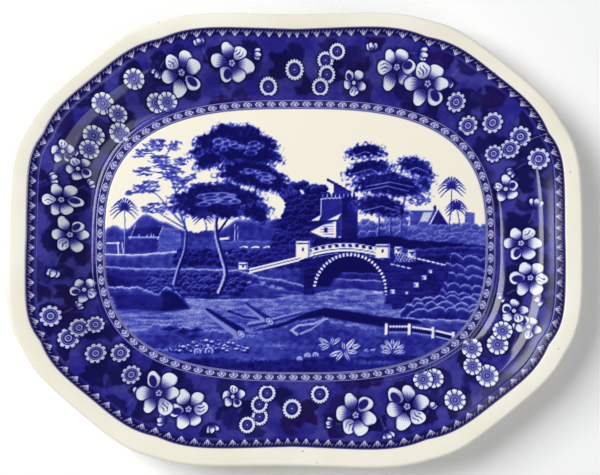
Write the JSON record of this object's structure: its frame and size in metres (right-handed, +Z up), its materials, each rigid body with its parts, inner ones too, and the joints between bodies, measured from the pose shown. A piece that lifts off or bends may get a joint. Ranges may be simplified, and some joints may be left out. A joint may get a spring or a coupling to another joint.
{
  "type": "serving platter",
  "caption": "Shallow lobed oblong serving platter on a low foot ring, in blue printed and clear glazed earthenware with a river scene in the well and a flowered rim.",
  "frame": {"origin": "on the table under the centre of the platter, in the plane of the foot ring's resting face", "axes": "+X along the length, +Y along the width towards the top of the scene, +Z up"},
  "size_m": [0.42, 0.3324, 0.0376],
  "materials": {
    "clay": "cream earthenware under a clear gloss glaze",
    "foot": "bare fired clay, ground flat",
    "scene_print": "cobalt line print of a landscape under a gloss glaze",
    "band_print": "cobalt print with white beads under a gloss glaze",
    "border_print": "dense cobalt print with white flowers under a gloss glaze",
    "glaze": "clear gloss lead glaze"
  },
  "bodies": {
    "root": {"earthenware_body": "clay", "foot_ring": "foot", "scene_transfer": "scene_print", "bead_band_transfer": "band_print", "border_transfer_a": "border_print", "border_transfer_b": "border_print", "edging_transfer_a": "band_print", "edging_transfer_b": "band_print", "face_glaze": "glaze", "back_glaze": "glaze", "base_glaze": "glaze"}
  },
  "joints": []
}
